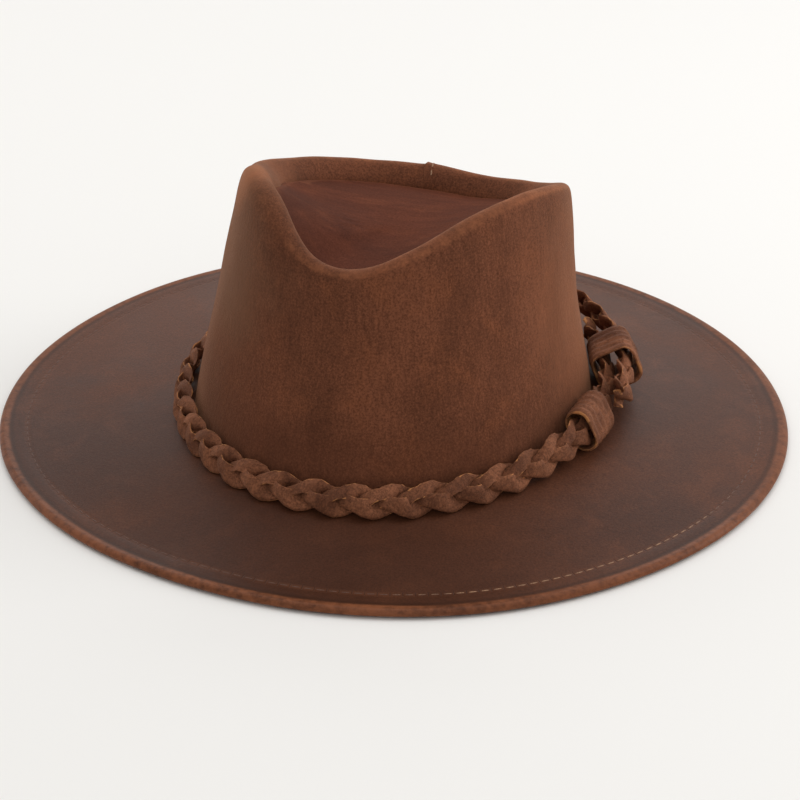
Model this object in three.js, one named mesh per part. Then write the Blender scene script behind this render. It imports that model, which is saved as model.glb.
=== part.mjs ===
// Bush hat of oiled leather: a sewn crown with a sunk oval tip and a dipped front, a wide flat
// brim with a folded and stitched hem, and a three-strand plaited band held by two wrapped loops.
// Millimetres, +Z up. The front of the hat faces -Y and the hem rests on the plane z = 0.
// A turn is an angle round the crown: 0 is the side at +X, 90 the back, 180 the side at -X
// and 270 the front.
import * as THREE from "three";

// Head opening, measured inside the brim's collar
const HEAD_WIDTH = 170;
const HEAD_LENGTH = 204;

// Leather and fit
const BRIM_LEATHER = 2;
const CROWN_LEATHER = 1.8;
const TIP_LEATHER = 1.8;
const FIT_GAP = 0.3;

// Brim
const BRIM_WIDTH_SIDE = 86.9;
const BRIM_WIDTH_FRONT = 68.9;
const BRIM_FALL = 9.5;
const COLLAR_HEIGHT = 9;
const HEM_WIDTH = 12.5;
const HEM_THICKNESS = 4.2;
const HEM_BEAD = 4.6;
const HEM_CREASE_INSET = 5;
const HEM_FOOT_INSET = 1.6;
const STITCH_GROOVE = 0.5;

// Crown
const CROWN_HEIGHT = 118;
const CREST_RADIUS = 5;
const BACK_LAP_THICKNESS = 1.1;
const BACK_LAP_RUN = 26;
const TIP_SEAM_ALLOWANCE = 5;
const TIP_SINK = 7;

// Plaited band
const STRAND_WIDTH = 7;
const STRAND_THICKNESS = 2.3;
const STRAND_ROLL = 0.7;
const PLAIT_SWING = 4.6;
const PLAIT_CROSSING = 2.4;
const PLAIT_PITCH = 50;
const BAND_TILT = 14;
const BAND_INNER_END = 34;
const BAND_OUTER_END = -5;

// Wrapped loops round the band
const LOOP_LEATHER = 1.6;
const LOOP_LENGTH = 22;
const LOOP_ROOM = 0.4;
const LOOP_TURNS = 5;
const LOOP_CORNER = 4;
const LOOP_GROOVE = 0.5;
const FRONT_LOOP_TURN = -15;
const BACK_LOOP_TURN = 15;

// Steps that the curved walls and the plait are cut into
const COLUMNS = 54;
const STEPS_PER_PLAIT = 12;
const LOOP_CORNER_STEPS = 3;

// The hat's outline, one row for each section round it. Out is the crest's distance from the
// middle as a share of the base oval, height a share of CROWN_HEIGHT. Curve is 1 where the wall
// leans evenly and more where it leans in soonest at its foot. Roll is the crest's radius, inset
// the tip seam's distance inwards and drop its depth, all as shares of CREST_RADIUS. Edge is the
// brim's reach as a share of its oval.
const SECTIONS = [
  { turn: 0, out: 0.79, height: 0.904, curve: 1.6, roll: 1, inset: 2.0, drop: 1.9, edge: 1.01 },
  { turn: 22.5, out: 0.825, height: 0.786, curve: 1.6, roll: 1, inset: 1.9, drop: 1.7, edge: 1.012 },
  { turn: 45, out: 0.849, height: 0.68, curve: 1.45, roll: 1, inset: 1.8, drop: 1.6, edge: 1.016 },
  { turn: 67.5, out: 0.814, height: 0.635, curve: 1.35, roll: 1, inset: 1.8, drop: 1.6, edge: 1.021 },
  { turn: 90, out: 0.79, height: 0.645, curve: 1.3, roll: 1, inset: 1.8, drop: 1.6, edge: 1.023 },
  { turn: 112.5, out: 0.809, height: 0.667, curve: 1.25, roll: 1, inset: 1.8, drop: 1.6, edge: 1.023 },
  { turn: 135, out: 0.814, height: 0.722, curve: 1.2, roll: 1, inset: 1.8, drop: 1.6, edge: 1.021 },
  { turn: 157.5, out: 0.754, height: 0.812, curve: 1.1, roll: 1, inset: 1.9, drop: 1.7, edge: 1.012 },
  { turn: 180, out: 0.671, height: 0.896, curve: 0.9, roll: 1.1, inset: 2.0, drop: 1.9, edge: 1.011 },
  { turn: 202.5, out: 0.662, height: 0.984, curve: 1.08, roll: 1.35, inset: 1.6, drop: 2.4, edge: 1.006 },
  { turn: 225, out: 0.677, height: 0.974, curve: 1.2, roll: 1.4, inset: 1.5, drop: 2.8, edge: 0.987 },
  { turn: 247.5, out: 0.715, height: 0.83, curve: 1.25, roll: 1.05, inset: 1.6, drop: 2.5, edge: 0.967 },
  { turn: 270, out: 0.737, height: 0.806, curve: 1.3, roll: 1, inset: 2.0, drop: 2.0, edge: 0.972 },
  { turn: 292.5, out: 0.735, height: 0.887, curve: 1.35, roll: 1, inset: 2.0, drop: 2.2, edge: 0.983 },
  { turn: 315, out: 0.724, height: 0.961, curve: 1.4, roll: 1, inset: 2.0, drop: 2.4, edge: 0.988 },
  { turn: 337.5, out: 0.749, height: 0.972, curve: 1.45, roll: 1, inset: 2.0, drop: 2.2, edge: 1.002 },
];

// Heights of the wall's rows as shares of its rise, and the roll's rows in degrees
const WALL_ROWS = [0, 0.34, 0.7];
const ROLL_ROWS = [0, 50, 100, 150];

// The tip's rings as shares of its radius
const TIP_RINGS = [0.36, 0.72];

const rad = THREE.MathUtils.degToRad;
const mix = THREE.MathUtils.lerp;
const smooth = THREE.MathUtils.smoothstep;

// The crown's outer face stands this far outside the head opening at its foot
const CROWN_OUTSIDE = BRIM_LEATHER + FIT_GAP + CROWN_LEATHER;
const CROWN_ACROSS = HEAD_WIDTH / 2 + CROWN_OUTSIDE;
const CROWN_ALONG = HEAD_LENGTH / 2 + CROWN_OUTSIDE;
const BRIM_ACROSS = CROWN_ACROSS + BRIM_WIDTH_SIDE;
const BRIM_ALONG = CROWN_ALONG + BRIM_WIDTH_FRONT;

// A point of an oval from its half sizes
function oval(across, along, turn) {
  return new THREE.Vector2(across * Math.cos(rad(turn)), along * Math.sin(rad(turn)));
}
const crownFoot = (turn) => oval(CROWN_ACROSS, CROWN_ALONG, turn);

// The level direction that points straight out of the crown at a turn
function outward(turn) {
  return new THREE.Vector2(
    Math.cos(rad(turn)) / CROWN_ACROSS,
    Math.sin(rad(turn)) / CROWN_ALONG,
  ).normalize();
}

const at = (plan, z) => new THREE.Vector3(plan.x, plan.y, z);

// Reads one column of the sections' table at a turn, smoothly between its rows
function sectionShare(column, turn) {
  const spot = THREE.MathUtils.euclideanModulo(turn, 360) / (360 / SECTIONS.length);
  const row = Math.floor(spot);
  const share = spot - row;
  const [a, b, c, d] = [-1, 0, 1, 2].map(
    (step) => SECTIONS[(row + step + SECTIONS.length) % SECTIONS.length][column],
  );
  const square = share * share;
  const cube = square * share;
  return (
    b * (2 * cube - 3 * square + 1) +
    ((c - a) / 2) * (cube - 2 * square + share) +
    c * (3 * square - 2 * cube) +
    ((d - b) / 2) * (cube - square)
  );
}

// A closed solid through rings of points. Rings run round the section and may join up at the
// end, or close on a pole at each end, or be capped flat.
function loft(rings, { joined = false, poles = null } = {}) {
  const around = rings[0].length;
  const points = rings.flat();
  const faces = [];
  const quad = (a, b, c, d) => faces.push(a, b, c, a, c, d);
  const bands = joined ? rings.length : rings.length - 1;
  for (let i = 0; i < bands; i++) {
    const here = i * around;
    const next = ((i + 1) % rings.length) * around;
    for (let j = 0; j < around; j++) {
      const k = (j + 1) % around;
      quad(here + j, next + j, next + k, here + k);
    }
  }
  if (!joined) {
    const ends = poles ?? [rings[0], rings.at(-1)].map(middle);
    const first = points.push(ends[0]) - 1;
    const final = points.push(ends[1]) - 1;
    const lastRing = (rings.length - 1) * around;
    for (let j = 0; j < around; j++) {
      const k = (j + 1) % around;
      faces.push(first, j, k, final, lastRing + k, lastRing + j);
    }
  }
  return facingOut(points, faces);
}

function middle(ring) {
  const sum = new THREE.Vector3();
  ring.forEach((p) => sum.add(p));
  return sum.divideScalar(ring.length);
}

// A geometry of these triangles, turned round if they enclose a negative volume
function facingOut(points, faces) {
  let volume = 0;
  const cross = new THREE.Vector3();
  for (let i = 0; i < faces.length; i += 3) {
    const [a, b, c] = [0, 1, 2].map((k) => points[faces[i + k]]);
    volume += a.dot(cross.crossVectors(b, c));
  }
  if (volume < 0) faces.reverse();
  const geometry = new THREE.BufferGeometry().setFromPoints(points);
  geometry.setIndex(faces);
  geometry.computeVertexNormals();
  return geometry;
}

// Turns of the wall's columns. Two of them stand close together at the back seam's edge.
const BACK_TURN = 90;
const SEAM_COLUMN_SPREAD = 0.35;
const columnTurns = Array.from({ length: COLUMNS }, (_, i) => BACK_TURN + (i * 360) / COLUMNS);
columnTurns[0] = BACK_TURN - SEAM_COLUMN_SPREAD;
columnTurns.splice(1, 0, BACK_TURN + SEAM_COLUMN_SPREAD);

// Height of the brim's upper face at a share of the way from the crown to its stitch line
const BRIM_CURVE = 1.35;
const BRIM_ROWS = [0.3, 0.65];
const brimTop = (share) => HEM_THICKNESS + BRIM_FALL * Math.pow(1 - share, BRIM_CURVE);
const CROWN_BASE = brimTop(0) + FIT_GAP;

// A point of the brim's plan a distance inside its edge
function brimPlan(turn, inside) {
  const edge = sectionShare("edge", turn);
  return oval(BRIM_ACROSS * edge - inside, BRIM_ALONG * edge - inside, turn);
}

// How steeply the brim falls away from the crown's foot
function brimSlope(turn) {
  const stitch = brimPlan(turn, HEM_WIDTH);
  const run = BRIM_ROWS[0] * crownFoot(turn).distanceTo(stitch);
  return Math.atan2(brimTop(0) - brimTop(BRIM_ROWS[0]), run);
}

// One section of the brim: collar, upper face, hem with its bead, and under face
function brimSection(turn) {
  const out = outward(turn);
  const foot = crownFoot(turn);
  const hem = (inside) => brimPlan(turn, inside);
  const stitch = hem(HEM_WIDTH);
  const flat = (share, below) => at(foot.clone().lerp(stitch, share), brimTop(share) - below);
  const bead = HEM_BEAD / 2;
  const collarFoot = foot.clone().addScaledVector(out, -CROWN_LEATHER - FIT_GAP);
  const collarTop = wallAt(turn, COLLAR_HEIGHT).addScaledVector(out, -CROWN_LEATHER - FIT_GAP);
  const collarZ = CROWN_BASE + COLLAR_HEIGHT;
  return [
    at(collarTop, collarZ),
    at(collarFoot, brimTop(0)),
    ...BRIM_ROWS.map((share) => flat(share, 0)),
    flat(1, STITCH_GROOVE),
    at(hem(HEM_WIDTH - bead), HEM_THICKNESS),
    at(hem(HEM_CREASE_INSET), HEM_THICKNESS - STITCH_GROOVE),
    at(hem(bead), HEM_BEAD),
    at(hem(0), bead),
    at(hem(HEM_FOOT_INSET), 0),
    at(hem(HEM_WIDTH + bead), 0),
    at(hem(HEM_WIDTH + bead), HEM_THICKNESS - BRIM_LEATHER),
    ...BRIM_ROWS.toReversed().map((share) => flat(share, BRIM_LEATHER)),
    at(collarFoot.clone().addScaledVector(out, -BRIM_LEATHER), brimTop(0) - BRIM_LEATHER),
    at(collarTop.clone().addScaledVector(out, -BRIM_LEATHER), collarZ),
  ];
}

// How far the crown's leather stands out where its right end laps over its left at the back
function backLap(turn) {
  const past = (BACK_TURN - turn) * rad(1) * (HEAD_LENGTH / 2);
  const run = THREE.MathUtils.euclideanModulo(past, 360 * rad(1) * (HEAD_LENGTH / 2));
  return BACK_LAP_THICKNESS * (1 - smooth(run, 0, BACK_LAP_RUN));
}

// Plan and height of the crest and of the tip's seam at a turn, and the crest's radius
function crestAt(turn) {
  const plan = crownFoot(turn).multiplyScalar(sectionShare("out", turn));
  const z = CROWN_BASE + CROWN_HEIGHT * sectionShare("height", turn);
  const roll = CREST_RADIUS * sectionShare("roll", turn);
  const inset = CREST_RADIUS * sectionShare("inset", turn);
  const drop = CREST_RADIUS * sectionShare("drop", turn);
  const seamPlan = plan.clone().addScaledVector(outward(turn), -inset);
  return { plan, z, roll, seamPlan, seamZ: z - drop };
}

// The wall's outer face at a share of its rise
function wallRow(turn, share) {
  const { plan, z, roll } = crestAt(turn);
  const top = plan.addScaledVector(outward(turn), roll);
  const lean = 1 - Math.pow(1 - share, sectionShare("curve", turn));
  return at(crownFoot(turn).lerp(top, lean), mix(CROWN_BASE, z - roll, share));
}

// The plan of the wall's outer face at a height, and its lean, along its straight lowest part
function wallAt(turn, height) {
  const foot = wallRow(turn, 0);
  const above = wallRow(turn, WALL_ROWS[1]);
  const spot = foot.clone().lerp(above, height / (above.z - foot.z));
  return new THREE.Vector2(spot.x, spot.y);
}
function wallLean(turn) {
  const height = COLLAR_HEIGHT;
  const inwards = crownFoot(turn).distanceTo(wallAt(turn, height));
  return Math.atan2(inwards, height);
}

// One side of the crown's leather, a depth inside its outer face: up the wall, over the rolled
// crest, down the inner wall and into the seam allowance
function crownFace(turn, depth) {
  const out = outward(turn);
  const { plan, z, roll, seamPlan, seamZ } = crestAt(turn);
  const proud = backLap(turn) * (1 - depth / CROWN_LEATHER);
  const level = new THREE.Vector3(out.x, out.y, 0);
  const face = WALL_ROWS.map((share) =>
    wallRow(turn, share).addScaledVector(level, proud - depth),
  );
  for (const degrees of ROLL_ROWS) {
    const reach = roll - depth + proud;
    const spot = plan.clone().addScaledVector(out, reach * Math.cos(rad(degrees)));
    face.push(at(spot, z - roll + reach * Math.sin(rad(degrees))));
  }
  const seam = seamPlan.clone().addScaledVector(out, depth);
  face.push(at(seam, seamZ));
  face.push(at(seam, seamZ - TIP_SEAM_ALLOWANCE));
  return face;
}

function crownSection(turn) {
  return [...crownFace(turn, 0), ...crownFace(turn, CROWN_LEATHER).reverse()];
}

// The tip is a shallow oval dish whose rim is turned down inside the crown's seam allowance
function crownTip() {
  const seams = columnTurns.map((turn) => {
    const { seamPlan, seamZ } = crestAt(turn);
    return { out: outward(turn), plan: seamPlan, z: seamZ };
  });
  const centre = new THREE.Vector2();
  seams.forEach((seam) => centre.addScaledVector(seam.plan, 1 / seams.length));
  const rimZ = seams.reduce((sum, seam) => sum + seam.z, 0) / seams.length;
  const floorZ = rimZ - TIP_SINK;
  const ring = (share, inside, below) =>
    seams.map((seam) => {
      const rim = seam.plan.clone().addScaledVector(seam.out, -FIT_GAP - inside);
      const bowl = mix(floorZ, seam.z, share * share);
      return at(centre.clone().lerp(rim, share), bowl - below);
    });
  const upper = TIP_RINGS.map((share) => ring(share, 0, 0));
  const under = TIP_RINGS.map((share) => ring(share, 0, TIP_LEATHER));
  const rings = [
    ...upper,
    ring(1, 0, 0),
    ring(1, 0, TIP_SEAM_ALLOWANCE),
    ring(1, TIP_LEATHER, TIP_SEAM_ALLOWANCE),
    ring(1, TIP_LEATHER, TIP_LEATHER),
    ...under.reverse(),
  ];
  return loft(rings, { poles: [at(centre, floorZ), at(centre, floorZ - TIP_LEATHER)] });
}

// Corners of one strand's section, in the band's own directions, at a point of its weave. It
// swings from edge to edge of the band, passes over and under its neighbours, and rolls as it
// dives beneath the one that follows.
const STRAND_SECTION = [
  { across: 1, through: 0 },
  { across: 0.5, through: 1 },
  { across: -0.5, through: 1 },
  { across: -1, through: 0 },
  { across: -0.5, through: -1 },
  { across: 0.5, through: -1 },
];
function strandCorners(weave) {
  const slope = PLAIT_SWING * ((2 * Math.PI) / PLAIT_PITCH) * Math.cos(weave);
  const run = Math.hypot(1, slope);
  const roll = -STRAND_ROLL * Math.cos(3 * weave);
  const tilt = Math.hypot(1, roll);
  return STRAND_SECTION.map((corner) => {
    const across = (corner.across * STRAND_WIDTH) / 2;
    const through = (corner.through * STRAND_THICKNESS) / 2;
    const wide = (across - roll * through) / tilt;
    const deep = (through + roll * across) / tilt;
    return {
      ahead: (-slope * wide) / run,
      rise: PLAIT_SWING * Math.sin(weave) + wide / run,
      depth: -PLAIT_CROSSING * Math.sin(2 * weave) + deep,
    };
  });
}

// How far the plait reaches from its middle line in a direction of its own section, read from
// the strand's path, and how far the second lap of the band stands out from the first
const WEAVE_SAMPLES = 72;
const wovenCorners = Array.from({ length: WEAVE_SAMPLES }, (_, i) =>
  strandCorners((2 * Math.PI * i) / WEAVE_SAMPLES),
).flat();
const plaitReach = (rise, depth) =>
  Math.max(...wovenCorners.map((corner) => corner.rise * rise + corner.depth * depth));
const LAP_SHIFT = 2 * plaitReach(0, 1) + FIT_GAP;

// Half sizes of a loop's room for one lap, and its reach from that lap's middle line towards
// the crown and the brim
const LOOP_HALF_HEIGHT = plaitReach(1, 0) + LOOP_ROOM;
const LOOP_HALF_DEPTH = plaitReach(0, 1) + LOOP_ROOM;
const loopReach = (rise, depth) =>
  (LOOP_HALF_HEIGHT - LOOP_CORNER) * Math.abs(rise) +
  (LOOP_HALF_DEPTH - LOOP_CORNER) * Math.abs(depth) +
  LOOP_CORNER +
  LOOP_LEATHER;

// How far out and up from the crown's foot the band's middle line lies, for the band to touch
// both the leaning wall and the falling brim
function bandSeat(turn, reach, gap) {
  const lean = wallLean(turn);
  const fall = brimSlope(turn);
  const tilt = rad(BAND_TILT);
  const offWall = gap + reach(Math.sin(tilt), -Math.cos(tilt));
  const toBrim = lean + tilt + fall;
  const offBrim = gap - FIT_GAP * Math.cos(fall) + reach(-Math.cos(toBrim), -Math.sin(toBrim));
  return new THREE.Vector2(
    offWall * Math.cos(fall) - offBrim * Math.sin(lean),
    offBrim * Math.cos(lean) - offWall * Math.sin(fall),
  ).divideScalar(Math.cos(lean + fall));
}

// Turns over which the band moves away from the wall: for the loops, for the crown's lap at the
// back, and for its own last stretch, which lies outside its first
const LOOP_ROOM_RUN = 26;
const BACK_ROOM_FROM = 18;
const BACK_ROOM_TO = 34;
const LAP_RUN = 27;
const LAP_LEAD = 8;
const degreesOff = (turn, from) =>
  Math.abs(THREE.MathUtils.euclideanModulo(turn - from + 180, 360) - 180);

// Place and directions of the band's middle line after it has travelled a number of degrees
// from its inner end, round by the front, to its outer end
const BAND_TRAVEL = 360 + BAND_INNER_END - BAND_OUTER_END;
function bandAt(travel) {
  const turn = BAND_INNER_END - travel;
  const out = outward(turn);
  const loopsMiddle = (BAND_INNER_END + FRONT_LOOP_TURN) / 2;
  const loopsReach = BAND_INNER_END - loopsMiddle + LAP_LEAD;
  const offLoops = degreesOff(turn, loopsMiddle) - loopsReach;
  const nearLoops = 1 - smooth(offLoops, 0, LOOP_ROOM_RUN);
  const nearSeam = 1 - smooth(degreesOff(turn, BACK_TURN), BACK_ROOM_FROM, BACK_ROOM_TO);
  const lapStart = 360 - LAP_LEAD - LAP_RUN;
  const lap = LAP_SHIFT * smooth(travel, lapStart, lapStart + LAP_RUN);
  const stand = wallLean(turn) + rad(BAND_TILT);
  const [sine, cosine] = [Math.sin(stand), Math.cos(stand)];
  const normal = new THREE.Vector3(out.x * cosine, out.y * cosine, sine);
  const up = new THREE.Vector3(-out.x * sine, -out.y * sine, cosine);
  const gap = FIT_GAP + BACK_LAP_THICKNESS * nearSeam;
  const seat = bandSeat(turn, plaitReach, gap).lerp(bandSeat(turn, loopReach, gap), nearLoops);
  const place = at(crownFoot(turn).addScaledVector(out, seat.x), CROWN_BASE + seat.y);
  place.addScaledVector(normal, lap);
  return { place, normal, up };
}

// The middle line measured out in even steps of length
const ROUTE_SAMPLES = 1440;
function measuredRoute() {
  const route = [{ travel: 0, length: 0 }];
  let last = bandAt(0).place;
  for (let i = 1; i <= ROUTE_SAMPLES; i++) {
    const travel = (BAND_TRAVEL * i) / ROUTE_SAMPLES;
    const next = bandAt(travel).place;
    route.push({ travel, length: route.at(-1).length + next.distanceTo(last) });
    last = next;
  }
  return route;
}
const route = measuredRoute();
const BAND_LENGTH = route.at(-1).length;

function travelAt(length) {
  const above = Math.max(
    1,
    route.findIndex((sample) => sample.length >= length),
  );
  const [a, b] = [route[above - 1], route[above]];
  return mix(a.travel, b.travel, (length - a.length) / (b.length - a.length));
}

// One strand of the plait. Phase is where it starts in the weave.
const PLAIT_COUNT = Math.round(BAND_LENGTH / PLAIT_PITCH);
function strand(phase) {
  const steps = PLAIT_COUNT * STEPS_PER_PLAIT;
  const rings = [];
  for (let i = 0; i <= steps; i++) {
    const length = Math.min((BAND_LENGTH * i) / steps, BAND_LENGTH * (1 - 1e-9));
    const { place, normal, up } = bandAt(travelAt(length));
    const ahead = up.clone().cross(normal).normalize();
    const corners = strandCorners((2 * Math.PI * i) / STEPS_PER_PLAIT + phase);
    rings.push(
      corners.map((corner) =>
        place
          .clone()
          .addScaledVector(ahead, corner.ahead)
          .addScaledVector(up, corner.rise)
          .addScaledVector(normal, corner.depth),
      ),
    );
  }
  return loft(rings);
}

// A loop is one long strip wound round one or both laps of the band: a rounded frame whose
// outer face is ribbed by its turns
function bandLoop(turn, laps) {
  const { place, normal, up } = bandAt(BAND_INNER_END - turn);
  const ahead = up.clone().cross(normal).normalize();
  const extraDepth = ((laps - 1) * LAP_SHIFT) / 2;
  const centre = place.clone().addScaledVector(normal, extraDepth);
  const frame = [];
  const corners = [
    { rise: 1, depth: 1, from: 0 },
    { rise: 1, depth: -1, from: 90 },
    { rise: -1, depth: -1, from: 180 },
    { rise: -1, depth: 1, from: 270 },
  ];
  for (const corner of corners) {
    for (let i = 0; i <= LOOP_CORNER_STEPS; i++) {
      const angle = rad(corner.from + (90 * i) / LOOP_CORNER_STEPS);
      frame.push({
        depth: corner.depth * (LOOP_HALF_DEPTH + extraDepth - LOOP_CORNER),
        rise: corner.rise * (LOOP_HALF_HEIGHT - LOOP_CORNER),
        outDepth: Math.cos(angle),
        outRise: Math.sin(angle),
      });
    }
  }
  const profile = [{ along: -LOOP_LENGTH / 2, off: 0 }];
  const ribs = 2 * LOOP_TURNS;
  for (let i = 0; i <= ribs; i++) {
    const along = LOOP_LENGTH * (i / ribs - 0.5);
    profile.push({ along, off: LOOP_LEATHER - (i % 2 ? 0 : LOOP_GROOVE) });
  }
  profile.push({ along: LOOP_LENGTH / 2, off: 0 });
  const rings = frame.map((spot) =>
    profile.map(({ along, off }) =>
      centre
        .clone()
        .addScaledVector(ahead, along)
        .addScaledVector(normal, spot.depth + spot.outDepth * (LOOP_CORNER + off))
        .addScaledVector(up, spot.rise + spot.outRise * (LOOP_CORNER + off)),
    ),
  );
  return loft(rings, { joined: true });
}

// Leather finishes, one for each kind of piece
function leather(color, roughness) {
  return new THREE.MeshStandardMaterial({ color, roughness, metalness: 0 });
}
const brimFinish = leather(0x5a3f32, 0.72);
const crownFinish = leather(0x6b4130, 0.78);
const tipFinish = leather(0x663a2e, 0.7);
const plaitFinish = leather(0x75503d, 0.8);

// The middle of the brim, which the finished hat is centred on
const brim = loft(columnTurns.map(brimSection), { joined: true });
brim.computeBoundingBox();
const brimMiddle = brim.boundingBox.getCenter(new THREE.Vector3());

const hat = new THREE.Group();
function addPiece(name, geometry, finish) {
  geometry.translate(-brimMiddle.x, -brimMiddle.y, 0);
  const mesh = new THREE.Mesh(geometry, finish);
  mesh.name = name;
  hat.add(mesh);
}

addPiece("brim", brim, brimFinish);
addPiece("crown_side", loft(columnTurns.map(crownSection), { joined: true }), crownFinish);
addPiece("crown_tip", crownTip(), tipFinish);
const STRANDS = 3;
for (let i = 0; i < STRANDS; i++) {
  addPiece(`plait_strand_${i + 1}`, strand((2 * Math.PI * i) / STRANDS), plaitFinish);
}
addPiece("band_loop_front", bandLoop(FRONT_LOOP_TURN, 1), plaitFinish);
addPiece("band_loop_back", bandLoop(BACK_LOOP_TURN, 2), plaitFinish);

export default hat;
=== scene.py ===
import math

import bmesh
import bpy
import numpy as np
from mathutils import Matrix, Vector, noise


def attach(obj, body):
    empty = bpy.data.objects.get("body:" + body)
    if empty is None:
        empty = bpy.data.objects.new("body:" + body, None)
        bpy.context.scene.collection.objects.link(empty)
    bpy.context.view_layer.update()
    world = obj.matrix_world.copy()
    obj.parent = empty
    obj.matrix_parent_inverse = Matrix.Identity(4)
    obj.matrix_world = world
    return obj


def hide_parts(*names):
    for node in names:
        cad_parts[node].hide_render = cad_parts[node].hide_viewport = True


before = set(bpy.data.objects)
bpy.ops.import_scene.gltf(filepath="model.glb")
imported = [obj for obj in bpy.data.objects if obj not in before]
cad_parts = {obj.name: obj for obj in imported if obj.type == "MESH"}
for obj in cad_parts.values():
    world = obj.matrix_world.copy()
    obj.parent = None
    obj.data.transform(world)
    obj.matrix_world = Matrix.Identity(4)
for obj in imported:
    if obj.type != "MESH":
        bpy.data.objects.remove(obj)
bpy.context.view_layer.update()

# Metres, in the frame's own axes: the front of the hat faces -Y and the floor is z = 0
MM = 0.001
DOWN = Vector((0, 0, -1))
TINY = 1e-9

# The camera looks at the hat from in front, a little above and a little round to its left side
CAMERA_DISTANCE = 1200 * MM
CAMERA_ELEVATION = math.radians(27.5)
CAMERA_ROUND = math.radians(10.4)
CAMERA_AIM = (3.07 * MM, -3.91 * MM, 9.6 * MM)
CAMERA_LENS = 119.95
SENSOR_WIDTH = 36

# Soft studio light. Every box looks at one point inside the crown
FLOOR_SIZE = 12
FLOOR_COLOUR = (0.86, 0.85, 0.83)
FLOOR_ROUGHNESS = 0.9
FLOOR_GLOSS = 0.1
SKY_STRENGTH = 0.52
SKY_COLOUR = (1.0, 0.985, 0.965)
LIGHT_AIM = (0, 0, 0.06)
SOFTBOXES = [
    {"name": "overhead_box", "place": (0, 0.1, 1.5), "size": (1.7, 1.2), "watts": 6.5},
    {"name": "back_box", "place": (0.1, 2.2, 1.25), "size": (3.2, 1.5), "watts": 16.5},
    {"name": "left_box", "place": (-1.4, 0.5, 0.9), "size": (1.0, 1.2), "watts": 4},
    {"name": "right_box", "place": (1.4, 0.4, 0.8), "size": (0.9, 1.1), "watts": 10},
    {"name": "front_box", "place": (0.3, -1.6, 1.5), "size": (1.6, 1.0), "watts": 4},
]

# The brim's hem: a rounded bead at the edge, a crease inside it and a line of stitches. The
# outline is measured in this many steps round
HEM_BEAD_WIDTH = 4.7 * MM
HEM_CREASE_INSET = HEM_BEAD_WIDTH + 0.9 * MM
HEM_STITCH_INSET = 12.5 * MM
HEM_STITCH_PITCH = 5.5 * MM
HEM_STITCH_LENGTH = 3.9 * MM
EDGE_STEPS = 220

# The lapped seam up the crown's back, its stitches, and how much of its wear the lap keeps
SEAM_STITCH_ASIDE = 3.4 * MM
SEAM_STITCH_PITCH = 4.6 * MM
SEAM_STITCH_LENGTH = 3.4 * MM
SEAM_FOOT = 16 * MM
SEAM_HALF_WIDTH = 5 * MM
SEAM_WEAR = 0.35
LAP_REACH = 2 * MM

# The thread
THREAD_THICKNESS = 0.75 * MM
THREAD_FLATNESS = 0.8
THREAD_SINK = 0.12 * MM
THREAD_RELIEF = 0.2 * MM

# The rays that find the surface under the stitches: how far off they start, the millimetres
# behind the middle where the back crest is looked for, and the steps up the wall and round the roll
PROBE_DISTANCE = 0.3
BRIM_PROBE_HEIGHT = 0.1
CREST_BEHIND = range(70, 100)
WALL_STEP = 0.5 * MM
ROLL_DROP = 5 * MM
ROLL_PROBE_REACH = 30 * MM
ROLL_DEGREES = range(2, 166, 3)

# Points nearer than this are one, and triangles join into quads whatever angle they make
MERGE_DISTANCE = 0.002 * MM
ANY_ANGLE = math.pi
GRID_PULL = 1.2

# Edges that turn more sharply than these are creased, and how firmly smoothing keeps them
LAP_ANGLE = math.radians(30)
LAP_CREASE = 0.6
TIP_ANGLE = math.radians(55)
TIP_CREASE = 0.8
SIDE_ANGLE = math.radians(48)
SIDE_CREASE = 0.4
RIB_ANGLE = math.radians(12)
RIB_CREASE = 0.5

# Edges that turn more sharply than these are cut leather: a strip's sides, and a loop's mouths
CUT_ANGLE = math.radians(75)
MOUTH_ANGLE = math.radians(60)

# Levels of smoothing
SHELL_LEVELS = 3
BAND_LEVELS = 2

# Soft waves of each surface, as pairs of a wave's size and its height
CROWN_WAVES = [(45 * MM, 1.0 * MM), (16 * MM, 0.35 * MM)]
TIP_WAVES = [(60 * MM, 1.2 * MM), (18 * MM, 0.3 * MM)]
STRIP_WAVES = [(9 * MM, 0.4 * MM), (3 * MM, 0.16 * MM)]
LOOP_WAVES = [(12 * MM, 0.5 * MM), (5 * MM, 0.2 * MM)]

# How strongly a bend of each surface counts as worn, and how often the bends are evened out
CROWN_GAIN = 7.0
BRIM_GAIN = 4.0
BAND_GAIN = 1.5
SHELL_PASSES = 6
BAND_PASSES = 1

# The tip's rim goes this far into its seam. The rim is where the normal lies level by more than
# the first share, and it moves all the way where that is more by the second
RIM_OUT = 1.1 * MM
RIM_FROM = 0.3
RIM_SPAN = 0.5

# A strip is softened, then its sides move out, those that face the band's middle further, and
# its faces rise. Its half width is the softened one, and one turn of the plait has this reach
SOFTEN_AMOUNT = 0.5
SOFTEN_TIMES = 2
SIDE_OUT = 2.2 * MM
INNER_OUT = 1.0 * MM
FACE_OUT = 0.55 * MM
STRIP_HALF_WIDTH = 2.9 * MM
STRIP_SPAN = 26 * MM
SHOULDER_SHARE = 0.8

# Colours of the leather's marks, painted shade and a painted highlight among them
BEAD_COLOUR = (0.21, 0.071, 0.03)
# Painted shade, in the hem's crease and its needle dents
GROOVE_SHADE_COLOUR = (0.022, 0.008, 0.004)
LINE_COLOUR = (0.12, 0.042, 0.02)
# Partly oiled leather, partly painted shade
OIL_AND_SHADE_COLOUR = (0.07, 0.022, 0.0105)
# Painted shade on the brim's front
BRIM_FRONT_SHADE = (0.038, 0.0125, 0.006)
OLIVE_COLOUR = (0.125, 0.058, 0.031)
# Burnished leather, also laid on as a painted highlight
BURNISH_AND_HIGHLIGHT = (0.33, 0.115, 0.048)
RAW_COLOUR = (0.5, 0.21, 0.075)
# Painted shade in the strips' folds
FOLD_SHADE_COLOUR = (0.05, 0.016, 0.008)

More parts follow.
